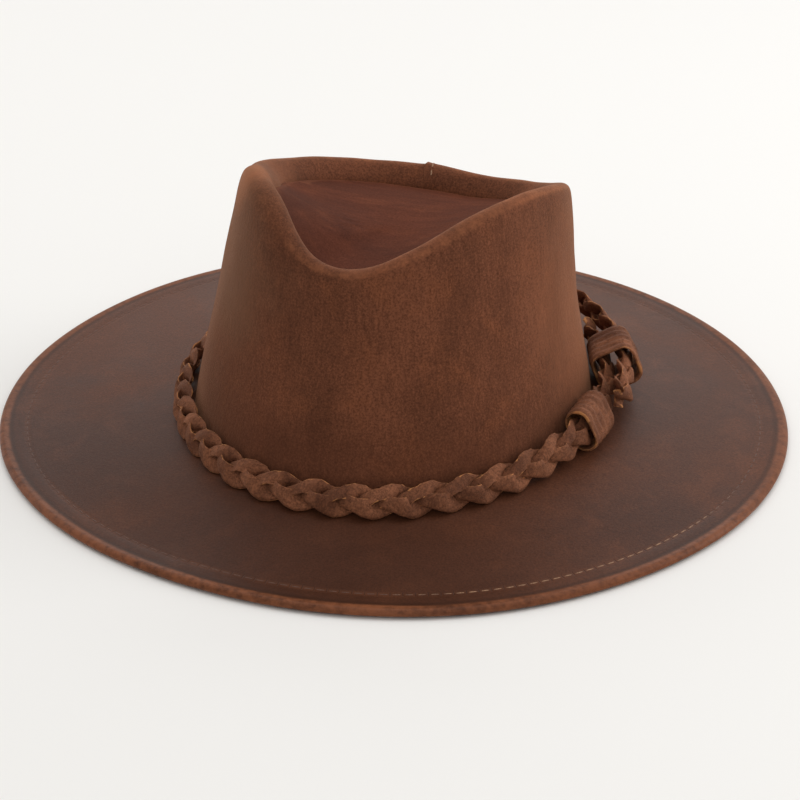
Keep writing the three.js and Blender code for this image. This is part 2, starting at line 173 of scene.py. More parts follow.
# Thread, as pairs of its darker and lighter fibres, and the side of the hat where it is rubbed
OLD_THREAD = ((0.06, 0.021, 0.01), (0.12, 0.048, 0.024))
CLEAN_THREAD = ((0.16, 0.075, 0.038), (0.4, 0.23, 0.12))
RUBBED_SIDE = (0.64, -0.77, 0)

# Soft patches of another colour, each with its strength at the middle: on the crown, a dark one of
# painted shade and an olive one on its right side, a rubbed one at its right peak, a faint one on its
# left side that is partly rubbed and partly a painted highlight, and on the brim one of painted shade at its
# front
CROWN_PATCHES = [
    # Painted shade on the crown's right side
    {"centre": (-75 * MM, -62 * MM, 45 * MM), "reach": 75 * MM, "share": 0.5, "colour": OIL_AND_SHADE_COLOUR},
    {"centre": (-66 * MM, -52 * MM, 100 * MM), "reach": 55 * MM, "share": 0.6, "colour": OLIVE_COLOUR},
    {"centre": (-58 * MM, -35 * MM, 131 * MM), "reach": 22 * MM, "share": 0.5, "colour": BURNISH_AND_HIGHLIGHT},
    # Partly rubbed leather, partly a painted highlight at the crown's left edge
    {"centre": (84 * MM, -2 * MM, 62 * MM), "reach": 60 * MM, "share": 0.2, "colour": BURNISH_AND_HIGHLIGHT},
]
BRIM_PATCHES = [
    {"centre": (-10 * MM, -120 * MM, 8 * MM), "reach": 150 * MM, "share": 0.55, "colour": BRIM_FRONT_SHADE},
]

# Shared values of every leather finish
EVEN = (1, 1, 1)
GRAIN_DEPTH = 0.6 * MM
PATCH_ROUGHER = 0.1
WORN_SMOOTHER = 0.08
SHEEN_ROUGHNESS = 0.4
SHEEN_TINT = (1.0, 0.5, 0.28, 1)


def select_only(piece):
    bpy.ops.object.select_all(action="DESELECT")
    piece.select_set(True)
    bpy.context.view_layer.objects.active = piece


# Camera and studio

def add_camera():
    level = Vector((math.sin(CAMERA_ROUND), -math.cos(CAMERA_ROUND), 0))
    back = level * math.cos(CAMERA_ELEVATION) + Vector((0, 0, math.sin(CAMERA_ELEVATION)))
    data = bpy.data.cameras.new("camera")
    data.sensor_width = SENSOR_WIDTH
    data.lens = CAMERA_LENS
    camera = bpy.data.objects.new("camera", data)
    bpy.context.scene.collection.objects.link(camera)
    camera.location = Vector(CAMERA_AIM) + back * CAMERA_DISTANCE
    camera.rotation_euler = (-back).to_track_quat("-Z", "Y").to_euler()
    bpy.context.scene.camera = camera


def add_softbox(name, place, size, watts):
    data = bpy.data.lights.new(name, "AREA")
    data.shape = "RECTANGLE"
    data.size, data.size_y = size
    data.energy = watts
    lamp = bpy.data.objects.new(name, data)
    bpy.context.scene.collection.objects.link(lamp)
    lamp.location = place
    lamp.rotation_euler = (Vector(LIGHT_AIM) - Vector(place)).to_track_quat("-Z", "Y").to_euler()


def add_floor():
    bpy.ops.mesh.primitive_plane_add(size=FLOOR_SIZE)
    floor = bpy.context.object
    floor.name = "floor"
    material, _, shader = new_material("floor_paint")
    shader.inputs["Base Color"].default_value = (*FLOOR_COLOUR, 1)
    shader.inputs["Roughness"].default_value = FLOOR_ROUGHNESS
    shader.inputs["Specular IOR Level"].default_value = FLOOR_GLOSS
    floor.data.materials.append(material)


def add_studio():
    scene = bpy.context.scene
    scene.view_settings.view_transform = "Standard"
    world = bpy.data.worlds.new("studio")
    scene.world = world
    world.use_nodes = True
    background = world.node_tree.nodes["Background"]
    background.inputs["Color"].default_value = (*SKY_COLOUR, 1)
    background.inputs["Strength"].default_value = SKY_STRENGTH
    for softbox in SOFTBOXES:
        add_softbox(**softbox)
    add_floor()


# Node trees

def new_material(name):
    material = bpy.data.materials.new(name)
    material.use_nodes = True
    tree = material.node_tree
    return material, tree, tree.nodes["Principled BSDF"]


def add_node(tree, kind, settings=None, **inputs):
    """A node with its settings, and inputs given as values or as other nodes' sockets. A key of i
    and a number is an input's place in the list, and any other its name with _ for each space."""
    made = tree.nodes.new(kind)
    for key, value in (settings or {}).items():
        setattr(made, key, value)
    for key, value in inputs.items():
        by_place = key[0] == "i" and key[1:].isdigit()
        socket = made.inputs[int(key[1:]) if by_place else key.replace("_", " ")]
        if isinstance(value, bpy.types.NodeSocket):
            tree.links.new(value, socket)
        elif isinstance(value, tuple) and len(value) == 3 and socket.type == "RGBA":
            socket.default_value = (*value, 1)
        else:
            socket.default_value = value
    return made


def maths(tree, operation, first, second=0.0, third=0.0, clamp=False):
    settings = {"operation": operation, "use_clamp": clamp}
    return add_node(tree, "ShaderNodeMath", settings, i0=first, i1=second, i2=third).outputs[0]


def centred(tree, value):
    """A noise's value, moved to swing about zero."""
    return maths(tree, "SUBTRACT", value, 0.5)


def off(tree, value, line):
    """How far a value lies from a line."""
    return maths(tree, "ABSOLUTE", maths(tree, "SUBTRACT", value, line))


def mixed(tree, share, first, second, blend="MIX"):
    settings = {"data_type": "RGBA", "blend_type": blend, "clamp_factor": True}
    return add_node(tree, "ShaderNodeMix", settings, i0=share, i6=first, i7=second).outputs[2]


def shaded(tree, colour, swing, strength):
    """A colour made lighter and darker by a value that swings about zero."""
    light = maths(tree, "MULTIPLY_ADD", swing, strength, 1.0)
    grey = add_node(tree, "ShaderNodeCombineColor", None, i0=light, i1=light, i2=light).outputs[0]
    return mixed(tree, 1.0, colour, grey, "MULTIPLY")


def ranged(tree, value, low, high, to_low=0.0, to_high=1.0):
    settings = {"interpolation_type": "SMOOTHSTEP"}
    made = add_node(
        tree, "ShaderNodeMapRange", settings,
        Value=value, From_Min=low, From_Max=high, To_Min=to_low, To_Max=to_high,
    )
    return made.outputs["Result"]


def noise_at(tree, place, scale, detail=3.0, roughness=0.55, distortion=0.0):
    made = add_node(
        tree, "ShaderNodeTexNoise",
        Vector=place, Scale=scale, Detail=detail, Roughness=roughness, Distortion=distortion,
    )
    return made.outputs["Fac"]


def drawn_out(tree, place, stretch):
    """A place whose patterns are drawn out along the axis where stretch is small."""
    return add_node(tree, "ShaderNodeMapping", None, Vector=place, Scale=stretch).outputs[0]


def attribute_of(tree, name):
    return add_node(tree, "ShaderNodeAttribute", {"attribute_name": name}).outputs["Fac"]


def patched(tree, place, colour, patches):
    """A colour with soft ragged patches of other colours laid over it."""
    for patch in patches:
        reach = patch["reach"]
        away = add_node(
            tree, "ShaderNodeVectorMath", {"operation": "DISTANCE"}, i0=place, i1=patch["centre"]
        ).outputs["Value"]
        cloud = centred(tree, noise_at(tree, place, scale=0.9 / reach, detail=4, roughness=0.6))
        away = maths(tree, "ADD", away, maths(tree, "MULTIPLY", cloud, reach * 1.2))
        share = ranged(tree, away, reach, reach * 0.25, 0.0, patch["share"])
        colour = mixed(tree, share, colour, patch["colour"])
    return colour


# Effects that several finishes share

def new_group(name, inputs, outputs):
    """An empty node group, its input sockets by name and its output node."""
    tree = bpy.data.node_groups.new(name, "ShaderNodeTree")
    kinds = {"value": "NodeSocketFloat", "colour": "NodeSocketColor", "vector": "NodeSocketVector"}
    for label, kind in inputs.items():
        tree.interface.new_socket(label, in_out="INPUT", socket_type=kinds[kind])
    for label, kind in outputs.items():
        tree.interface.new_socket(label, in_out="OUTPUT", socket_type=kinds[kind])
    given = tree.nodes.new("NodeGroupInput")
    result = tree.nodes.new("NodeGroupOutput")
    return tree, given.outputs, result


def make_dye_group():
    """Cloudy dye: broad patches of two browns, mottled by a finer cloud and speckled by the nap."""
    inputs = {
        "Place": "vector", "Dark": "colour", "Light": "colour", "Warm": "colour",
        "Patches": "value", "Balance": "value", "Mottle": "value", "Speckle": "value",
    }
    tree, given, result = new_group("cloudy_dye", inputs, {"Colour": "colour", "Patch": "value"})
    place = given["Place"]
    broad = noise_at(tree, place, given["Patches"], detail=4, roughness=0.6, distortion=0.8)
    patch = ranged(tree, maths(tree, "ADD", broad, given["Balance"]), 0.34, 0.68)
    colour = mixed(tree, patch, given["Dark"], given["Light"])
    middling = noise_at(tree, place, scale=55, detail=5, roughness=0.62, distortion=0.4)
    warm = maths(tree, "MULTIPLY", ranged(tree, middling, 0.46, 0.72), given["Mottle"])
    colour = mixed(tree, warm, colour, given["Warm"])
    grains = centred(tree, noise_at(tree, place, scale=1150, detail=3, roughness=0.7))
    colour = shaded(tree, colour, grains, given["Speckle"])
    tree.links.new(colour, result.inputs["Colour"])
    tree.links.new(patch, result.inputs["Patch"])
    return tree


def make_wear_group():
    """Burnished wear: where the mesh's worn attribute is high, broken up by a ragged noise."""
    inputs = {"Place": "vector", "Worn": "value", "Amount": "value", "Start": "value"}
    tree, given, result = new_group("burnished_wear", inputs, {"Mask": "value"})
    ragged = noise_at(tree, given["Place"], scale=160, detail=5, roughness=0.65, distortion=0.5)
    swing = maths(tree, "MULTIPLY", centred(tree, ragged), 0.55)
    height = maths(tree, "SUBTRACT", maths(tree, "ADD", given["Worn"], swing), given["Start"])
    mask = ranged(tree, height, 0.0, 0.45)
    mask = maths(tree, "MULTIPLY", mask, given["Amount"], clamp=True)
    tree.links.new(mask, result.inputs["Mask"])
    return tree


def make_grain_group():
    """Height of the leather's surface: fine nap, pebbled grain and small dents."""
    inputs = {"Place": "vector", "Nap": "value", "Pebble": "value", "Dents": "value"}
    tree, given, result = new_group("leather_grain", inputs, {"Height": "value"})
    place = given["Place"]
    fine = noise_at(tree, place, scale=900, detail=6, roughness=0.75)
    nap = maths(tree, "MULTIPLY", fine, given["Nap"])
    cells = add_node(
        tree, "ShaderNodeTexVoronoi", {"feature": "SMOOTH_F1"},
        Vector=place, Scale=620, Smoothness=0.6, Randomness=1.0,
    ).outputs["Distance"]
    pebble = maths(tree, "MULTIPLY", cells, given["Pebble"])
    coarse = noise_at(tree, place, scale=90, detail=4, roughness=0.6, distortion=0.3)
    dents = maths(tree, "MULTIPLY", coarse, given["Dents"])
    height = maths(tree, "ADD", maths(tree, "SUBTRACT", nap, pebble), dents)
    tree.links.new(height, result.inputs["Height"])
    return tree


def placed_group(tree, group, **inputs):
    return add_node(tree, "ShaderNodeGroup", {"node_tree": group}, **inputs).outputs


# Finishes

def leather(name, dark, light, warm, worn, patches, balance, mottle, speckle, stretch,
            wear, wear_start, nap, pebble, dents, roughness, bump, sheen, gloss, marks):
    """A leather finish. Stretch draws the nap out along one axis, and marks adds what this
    surface alone has."""
    material, tree, shader = new_material(name)
    place = add_node(tree, "ShaderNodeTexCoord").outputs["Object"]
    dye = placed_group(
        tree, DYE, Place=place, Dark=dark, Light=light, Warm=warm,
        Patches=patches, Balance=balance, Mottle=mottle, Speckle=speckle,
    )
    mask = placed_group(
        tree, WEAR, Place=place, Worn=attribute_of(tree, "worn"), Amount=wear, Start=wear_start
    )["Mask"]
    colour = mixed(tree, mask, dye["Colour"], worn)
    nap_place = drawn_out(tree, place, stretch)
    height = placed_group(
        tree, GRAIN, Place=nap_place, Nap=nap, Pebble=pebble, Dents=dents
    )["Height"]
    colour, height = marks(tree, place, colour, height)
    tree.links.new(colour, shader.inputs["Base Color"])
    rough = maths(tree, "MULTIPLY_ADD", dye["Patch"], PATCH_ROUGHER, roughness)
    rough = maths(tree, "SUBTRACT", rough, maths(tree, "MULTIPLY", mask, WORN_SMOOTHER))
    tree.links.new(rough, shader.inputs["Roughness"])
    relief = add_node(
        tree, "ShaderNodeBump", None, Strength=bump, Distance=GRAIN_DEPTH, Height=height
    )
    tree.links.new(relief.outputs[0], shader.inputs["Normal"])
    shader.inputs["Specular IOR Level"].default_value = gloss
    shader.inputs["Sheen Weight"].default_value = sheen
    shader.inputs["Sheen Roughness"].default_value = SHEEN_ROUGHNESS
    shader.inputs["Sheen Tint"].default_value = SHEEN_TINT
    return material


def crown_marks(tree, place, colour, height):
    """Fine upright streaks in the nap, darker colour low down above the band that is partly oiled leather
    and partly painted shade, and the crown's patches, painted shade and a painted highlight among them."""
    drawn = drawn_out(tree, place, (1, 1, 0.11))
    streak = centred(tree, noise_at(tree, drawn, scale=620, detail=4, roughness=0.7))
    colour = shaded(tree, colour, streak, 0.9)
    up = add_node(tree, "ShaderNodeSeparateXYZ", None, Vector=place).outputs[2]
    wander = maths(tree, "MULTIPLY", centred(tree, noise_at(tree, place, scale=18)), 34 * MM)
    # Darker colour low down above the band, partly oiled leather and partly painted shade
    low = ranged(tree, maths(tree, "ADD", up, wander), 52 * MM, 26 * MM, 0.0, 0.45)
    colour = mixed(tree, low, colour, OIL_AND_SHADE_COLOUR)
    colour = patched(tree, place, colour, CROWN_PATCHES)
    return colour, maths(tree, "ADD", height, maths(tree, "MULTIPLY", streak, 0.5))


def tip_marks(tree, place, colour, height):
    """Faint streaks across the tip, as a hand that smooths it leaves them."""
    drawn = drawn_out(tree, place, (0.12, 1, 1))
    streak = centred(tree, noise_at(tree, drawn, scale=240, detail=3, roughness=0.6))
    return shaded(tree, colour, streak, 0.5), height


def brim_marks(tree, place, colour, height):
    """A patch of painted shade at the brim's front, and its hem's own marks: a rubbed bead, a dark crease
    of painted shade inside it, and needle dents along the stitch line, darkened with painted shade."""
    # Painted shade over the brim's front, where the crown shades it
    colour = patched(tree, place, colour, BRIM_PATCHES)
    uv = add_node(tree, "ShaderNodeUVMap", {"uv_map": "hem"}).outputs[0]
    stitches, inwards, _ = add_node(tree, "ShaderNodeSeparateXYZ", None, Vector=uv).outputs
    wander = maths(tree, "MULTIPLY", centred(tree, noise_at(tree, place, scale=30)), 1.2 * MM)
    inset = maths(tree, "ADD", inwards, wander)
    ragged = noise_at(tree, place, scale=260, detail=4, roughness=0.65)
    patchy = noise_at(tree, place, scale=22, detail=3, roughness=0.6)

    bead = ranged(tree, inset, HEM_BEAD_WIDTH + 0.8 * MM, HEM_BEAD_WIDTH - 1.2 * MM)
    uneven = maths(tree, "ADD", ragged, maths(tree, "MULTIPLY", patchy, 0.6))
    rub = maths(tree, "MULTIPLY", bead, ranged(tree, uneven, 0.55, 1.0, 0.15, 0.95))
    colour = mixed(tree, rub, colour, BEAD_COLOUR)

    # Painted shade in the crease inside the bead
    off_crease = off(tree, inset, HEM_CREASE_INSET)
    creased = ranged(tree, off_crease, 1.9 * MM, 0.2 * MM, 0.0, 0.42)
    colour = mixed(tree, creased, colour, GROOVE_SHADE_COLOUR)

    off_line = off(tree, inwards, HEM_STITCH_INSET)
    line = ranged(tree, off_line, 2.2 * MM, 0.3 * MM)
    line_rub = maths(tree, "MULTIPLY", line, ranged(tree, patchy, 0.35, 0.7, 0.1, 0.6))
    colour = mixed(tree, line_rub, colour, LINE_COLOUR)

    off_stitch = off(tree, maths(tree, "FRACT", stitches), 0.5)
    hole = ranged(tree, off_stitch, 0.44, 0.49)
    dent = maths(tree, "MULTIPLY", hole, ranged(tree, off_line, 1.7 * MM, 0.9 * MM))
    # Painted shade darkens the needle dents, which also sink into the surface's height
    colour = mixed(tree, maths(tree, "MULTIPLY", dent, 0.65), colour, GROOVE_SHADE_COLOUR)
    drop = maths(tree, "ADD", maths(tree, "MULTIPLY", dent, 1.2), maths(tree, "MULTIPLY", line, 0.35))
    return colour, maths(tree, "SUBTRACT", height, drop)


def band_marks(tree, place, colour, height):
    """Wrinkled strips with painted shade in their folds, and golden raw leather showing here and there along
    their cut edges.
    """
    wrinkle = noise_at(tree, place, scale=330, detail=4, roughness=0.6, distortion=1.2)
    fold = ranged(tree, off(tree, wrinkle, 0.5), 0.0, 0.05)
    # Painted shade along the wrinkles' folds
    fold_shade = maths(tree, "MULTIPLY", maths(tree, "SUBTRACT", 1.0, fold), 0.4)
    colour = mixed(tree, fold_shade, colour, FOLD_SHADE_COLOUR)
    fine = centred(tree, noise_at(tree, place, scale=520, detail=4, roughness=0.7))
    ragged = maths(tree, "MULTIPLY", fine, 0.3)
    line = ranged(tree, maths(tree, "ADD", attribute_of(tree, "cut_edge"), ragged), 0.8, 0.96)
    broad = noise_at(tree, place, scale=80, detail=2, roughness=0.5)
    shows = ranged(tree, maths(tree, "ADD", broad, ragged), 0.5, 0.6, 0.1, 0.95)
    colour = mixed(tree, maths(tree, "MULTIPLY", line, shows), colour, RAW_COLOUR)
    return colour, maths(tree, "ADD", height, maths(tree, "MULTIPLY", fold, 0.55))


def crown_leather():
    return leather(
        "crown_leather", dark=(0.092, 0.0305, 0.014), light=(0.155, 0.053, 0.026),
        warm=(0.2, 0.064, 0.026), worn=(0.34, 0.12, 0.052), patches=9, balance=0.03, mottle=0.34,
        speckle=2.0, stretch=(1, 1, 0.5), wear=0.6, wear_start=0.22, nap=0.7, pebble=0.15,
        dents=0.5, roughness=0.75, bump=0.42, sheen=0.26, gloss=0.1, marks=crown_marks,
    )


def tip_leather():
    return leather(
        "tip_leather", dark=(0.072, 0.022, 0.0125), light=(0.108, 0.033, 0.018),
        warm=(0.15, 0.045, 0.021), worn=(0.22, 0.08, 0.04), patches=9, balance=0.05, mottle=0.35,
        speckle=1.4, stretch=(0.3, 1, 1), wear=0.3, wear_start=0.3, nap=0.4, pebble=0.08,
        dents=0.3, roughness=0.72, bump=0.3, sheen=0.0, gloss=0.03, marks=tip_marks,
    )


def brim_leather():
    return leather(
        "brim_leather", dark=(0.056, 0.0185, 0.009), light=(0.094, 0.032, 0.0155),
        warm=(0.13, 0.042, 0.018), worn=(0.17, 0.058, 0.025), patches=8, balance=0.0, mottle=0.4,
        speckle=1.8, stretch=EVEN, wear=0.4, wear_start=0.3, nap=0.45, pebble=0.12, dents=0.4,
        roughness=0.4, bump=0.3, sheen=0.08, gloss=0.13, marks=brim_marks,
    )


def band_leather():
    return leather(
        "band_leather", dark=(0.125, 0.043, 0.02), light=(0.255, 0.096, 0.047),
        warm=(0.26, 0.098, 0.045), worn=(0.6, 0.27, 0.1), patches=45, balance=0.0, mottle=0.45,
        speckle=1.6, stretch=EVEN, wear=0.85, wear_start=0.4, nap=0.7, pebble=0.2, dents=0.9,
        roughness=0.68, bump=0.6, sheen=0.12, gloss=0.16, marks=band_marks,
    )


def waxed_thread(name, everywhere):
    """Waxed thread: tan everywhere, or dark with oil but for one rubbed stretch at the front."""
    material, tree, shader = new_material(name)
    place = add_node(tree, "ShaderNodeTexCoord").outputs["Object"]
    fibre = noise_at(tree, place, scale=1800, detail=3, roughness=0.7)
    broken = noise_at(tree, place, scale=60, detail=3, roughness=0.6)
    flat = add_node(tree, "ShaderNodeVectorMath", {"operation": "NORMALIZE"}, i0=place).outputs[0]
    facing = add_node(
        tree, "ShaderNodeVectorMath", {"operation": "DOT_PRODUCT"}, i0=flat, i1=RUBBED_SIDE
    ).outputs["Value"]
    uneven = maths(tree, "MULTIPLY", centred(tree, broken), 0.25)
    rubbed = ranged(tree, maths(tree, "ADD", facing, uneven), 0.86, 0.95, float(everywhere), 1.0)
    lighter = ranged(tree, fibre, 0.35, 0.7)
    old = mixed(tree, lighter, *OLD_THREAD)
    clean = mixed(tree, lighter, *CLEAN_THREAD)
    tree.links.new(mixed(tree, rubbed, old, clean), shader.inputs["Base Color"])
    relief = add_node(tree, "ShaderNodeBump", None, Strength=0.5, Distance=THREAD_RELIEF, Height=fibre)
    tree.links.new(relief.outputs[0], shader.inputs["Normal"])
    shader.inputs["Roughness"].default_value = 0.6
    return material


# Meshes

def copy_of(node, name):
    """A copy of a CAD node, its loose triangles merged and joined into quads."""
    piece = bpy.data.objects.new(name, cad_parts[node].data.copy())
    bpy.context.scene.collection.objects.link(piece)
    piece.data.materials.clear()
    select_only(piece)
    if piece.data.has_custom_normals:
        bpy.ops.mesh.customdata_custom_splitnormals_clear()
    bpy.ops.object.mode_set(mode="EDIT")
    bpy.ops.mesh.select_all(action="SELECT")
    bpy.ops.mesh.remove_doubles(threshold=MERGE_DISTANCE)
    bpy.ops.mesh.tris_convert_to_quads(
        face_threshold=ANY_ANGLE, shape_threshold=ANY_ANGLE, topology_influence=GRID_PULL
    )
    bpy.ops.mesh.mark_sharp(clear=True)
    bpy.ops.object.mode_set(mode="OBJECT")
    return piece


def on_back_seam(point):
    """Whether a point lies on the lapped seam up the middle of the back."""
    return abs(point.x) < LAP_REACH and point.y > 0


def crease(piece, angle, amount, keep=lambda point: True):
    """Creases the edges that turn more than an angle, so that smoothing keeps them."""
    shape = bmesh.new()
    shape.from_mesh(piece.data)
    layers = shape.edges.layers.float
    layer = layers.get("crease_edge") or layers.new("crease_edge")
    for edge in shape.edges:
        if edge.calc_face_angle(0) > angle and all(keep(end.co) for end in edge.verts):
            edge[layer] = amount
    shape.to_mesh(piece.data)
    shape.free()


def smooth_out(piece, levels):
    modifier = piece.modifiers.new("smooth", "SUBSURF")
    modifier.levels = levels
    modifier.render_levels = levels
    select_only(piece)
    bpy.ops.object.modifier_apply(modifier=modifier.name)
    bpy.ops.object.shade_smooth()


def points_of(piece):
    flat = np.empty(3 * len(piece.data.vertices))
    piece.data.vertices.foreach_get("co", flat)
    return flat.reshape(-1, 3)


def normals_of(piece):
    flat = np.empty(3 * len(piece.data.vertices), dtype=np.float32)
    piece.data.vertex_normals.foreach_get("vector", flat)
    return flat.reshape(-1, 3).astype(float)


def set_points(piece, points):
    piece.data.vertices.foreach_set("co", points.ravel())
    piece.data.update()


def mark_cut(piece, angle):
    """Stores which points lie on edges sharper than an angle, where the leather is cut, as the
    attribute cut_edge."""
    shape = bmesh.new()
    shape.from_mesh(piece.data)
    layer = shape.verts.layers.float.new("cut_edge")
    for point in shape.verts:
        point[layer] = float(any(edge.calc_face_angle(0) > angle for edge in point.link_edges))
    shape.to_mesh(piece.data)
    shape.free()


def soften(piece):
    """Rounds off a strip's turns by drawing each point towards its neighbours."""
    select_only(piece)
    bpy.ops.object.mode_set(mode="EDIT")
    bpy.ops.mesh.select_all(action="SELECT")
    bpy.ops.mesh.vertices_smooth(factor=SOFTEN_AMOUNT, repeat=SOFTEN_TIMES)
    bpy.ops.object.mode_set(mode="OBJECT")


def side_moves(shape, layer):
    """The move of each point on a strip's cut sides, by its index. The side that looks towards
    the middle of the band moves further, and the side at its edge less."""
    places = np.array([point.co for point in shape.verts])
    moves = {}
    for point in shape.verts:
        beside = [edge.other_vert(point) for edge in point.link_edges]
        shoulders = [other.co for other in beside if other[layer] < 0.5]
        if point[layer] > 0.5 and shoulders:
            outwards = (point.co - sum(shoulders, Vector()) / len(shoulders)).normalized()
            near = np.linalg.norm(places - np.array(point.co), axis=1) < STRIP_SPAN
            middle = Vector(places[near].mean(0)) - point.co
            share = (middle.dot(outwards) + STRIP_HALF_WIDTH) / STRIP_HALF_WIDTH
            moves[point.index] = outwards * (SIDE_OUT + INNER_OUT * max(-1, min(1, share)))
    return moves


def spread(piece):
    """Widens a strip and makes its faces a little plumper."""
    shape = bmesh.new()
    shape.from_mesh(piece.data)
    shape.normal_update()
    layer = shape.verts.layers.float["cut_edge"]
    moves = side_moves(shape, layer)
    for point in shape.verts:
        beside = [edge.other_vert(point).index for edge in point.link_edges]
        sides = [moves[index] for index in beside if index in moves]
        if point[layer] < 0.5:
            point.co += point.normal * FACE_OUT
            if sides:
                point.co += sum(sides, Vector()) / len(sides) * SHOULDER_SHARE
    for point in shape.verts:
        if point.index in moves:
            point.co += moves[point.index]
    shape.to_mesh(piece.data)
    shape.free()


def fill_seam(piece):
    """Moves the outer rim of a flat panel outwards, into its seam."""
    points = points_of(piece)
    normals = normals_of(piece)
    level = np.hypot(normals[:, 0], normals[:, 1])
    outwards = (points[:, :2] * normals[:, :2]).sum(1) > 0
    share = np.clip((level - RIM_FROM) / RIM_SPAN, 0, 1) * outwards
    points[:, :2] += normals[:, :2] / (level + TINY)[:, None] * (RIM_OUT * share)[:, None]
    set_points(piece, points)


def ripple(piece, waves):
    """Moves points along their normals by soft noise."""
    points = points_of(piece)
    normals = normals_of(piece)
    for size, height in waves:
        moves = np.array([noise.noise(Vector(p) / size) for p in points])
        points = points + normals * (moves * height)[:, None]
    set_points(piece, points)


def mark_worn(piece, gain, passes=SHELL_PASSES):
    """Stores how far each point stands out from its neighbours as the attribute worn."""
    points = points_of(piece)
    normals = normals_of(piece)
    ends = np.empty(2 * len(piece.data.edges), dtype=np.int32)
    piece.data.edges.foreach_get("vertices", ends)
    first, second = ends.reshape(-1, 2).T
    along = points[second] - points[first]
    length = np.linalg.norm(along, axis=1) + TINY
    bend = np.zeros(len(points))
    count = np.zeros(len(points))
    np.add.at(bend, first, -(normals[first] * along).sum(1) / length**2)
    np.add.at(bend, second, (normals[second] * along).sum(1) / length**2)
    np.add.at(count, first, 1)
    np.add.at(count, second, 1)
    bend = bend / count
    for _ in range(passes):
        total = bend.copy()
        np.add.at(total, first, bend[second])
        np.add.at(total, second, bend[first])
        bend = total / (count + 1)
    worn = np.clip(bend * gain * MM, 0, 1)
    layer = piece.data.attributes.new("worn", "FLOAT", "POINT")
    layer.data.foreach_set("value", worn.astype(np.float32))
    return worn


def spare_seam(piece, worn):
    """Takes most of the wear off the back seam's lap, whose fold is sharp but isn't rubbed."""
    points = points_of(piece)
    seam = (np.abs(points[:, 0]) < SEAM_HALF_WIDTH) & (points[:, 1] > 0)
    worn = np.where(seam, worn * SEAM_WEAR, worn)
    piece.data.attributes["worn"].data.foreach_set("value", worn.astype(np.float32))


def finish_piece(piece, material, slot, *nodes):
    piece.data.materials.append(material)
    if nodes:
        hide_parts(*nodes)
    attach(piece, "root")


# The hem's outline

def edge_of(brim):
    """The brim's outline: its turns, its reach at each, and the length of the edge up to each."""
    points = points_of(brim)
    turn = np.arctan2(points[:, 1], points[:, 0])
    place = ((turn / (2 * math.pi) + 0.5) * EDGE_STEPS).astype(int) % EDGE_STEPS
    reach = np.zeros(EDGE_STEPS)
    np.maximum.at(reach, place, np.hypot(points[:, 0], points[:, 1]))
    reach = (np.roll(reach, 1) + reach + np.roll(reach, -1)) / 3
    turns = ((np.arange(-1, EDGE_STEPS + 1) + 0.5) / EDGE_STEPS - 0.5) * 2 * math.pi
    reach = np.concatenate([reach[-1:], reach, reach[:1]])
    line = np.stack([reach * np.cos(turns), reach * np.sin(turns)], 1)
    steps = np.linalg.norm(np.diff(line, axis=0), axis=1)
    lengths = np.concatenate([[-steps[0]], np.cumsum(steps) - steps[0]])
    return turns, reach, lengths


def hem_map(brim, edge):
    """Gives the brim a UV map called hem: stitches round the edge, and metres in from it. Returns
    how many stitches go round."""
    turns, reach, lengths = edge
    whole = lengths[-1] - lengths[1]
    count = round(whole / HEM_STITCH_PITCH)
    points = points_of(brim)
    turn = np.arctan2(points[:, 1], points[:, 0])
    inwards = np.interp(turn, turns, reach) - np.hypot(points[:, 0], points[:, 1])
    around = np.interp(turn, turns, lengths) * count / whole
    corners = np.empty(len(brim.data.loops), dtype=np.int32)
    brim.data.loops.foreach_get("vertex_index", corners)
    along = around[corners]
    starts = np.empty(len(brim.data.polygons), dtype=np.int32)
    brim.data.polygons.foreach_get("loop_start", starts)
    totals = np.empty(len(brim.data.polygons), dtype=np.int32)
    brim.data.polygons.foreach_get("loop_total", totals)
    first = np.repeat(along[starts], totals)
    along = along - count * np.round((along - first) / count)
    layer = brim.data.uv_layers.new(name="hem")
    layer.data.foreach_set("uv", np.stack([along, inwards[corners]], 1).ravel())
    return count


# Stitches

def stitch_shape(length):
    """One stitch of thread: a slim rounded pad along X, flatter than it is wide."""
    bpy.ops.object.select_all(action="DESELECT")
    bpy.ops.mesh.primitive_uv_sphere_add(segments=8, ring_count=6, radius=THREAD_THICKNESS / 2)
    stitch = bpy.context.object
    bpy.ops.object.mode_set(mode="EDIT")
    bpy.ops.mesh.select_all(action="SELECT")
    bpy.ops.transform.resize(value=(length / THREAD_THICKNESS, 1, THREAD_FLATNESS))
    bpy.ops.object.mode_set(mode="OBJECT")
    return stitch


def sew(name, length, places, material, slot):
    """A row of stitches as one piece. Each place is a point, a direction and the surface's
    normal there."""
    pattern = stitch_shape(length)
    row = []
    for point, ahead, normal in places:
        aside = normal.cross(ahead).normalized()
        ahead = aside.cross(normal).normalized()
        stitch = pattern.copy()
        stitch.data = pattern.data.copy()
        bpy.context.scene.collection.objects.link(stitch)
        seat = point - normal * THREAD_SINK
        turn = Matrix((ahead, aside, normal)).transposed().to_4x4()
        stitch.data.transform(Matrix.Translation(seat) @ turn)
        row.append(stitch)
    bpy.data.objects.remove(pattern)
    bpy.ops.object.select_all(action="DESELECT")
    for stitch in row:
        stitch.select_set(True)
    bpy.context.view_layer.objects.active = row[0]
    bpy.ops.object.join()
    thread = bpy.context.object
    thread.name = name
    bpy.ops.object.shade_smooth()
    finish_piece(thread, material, slot)


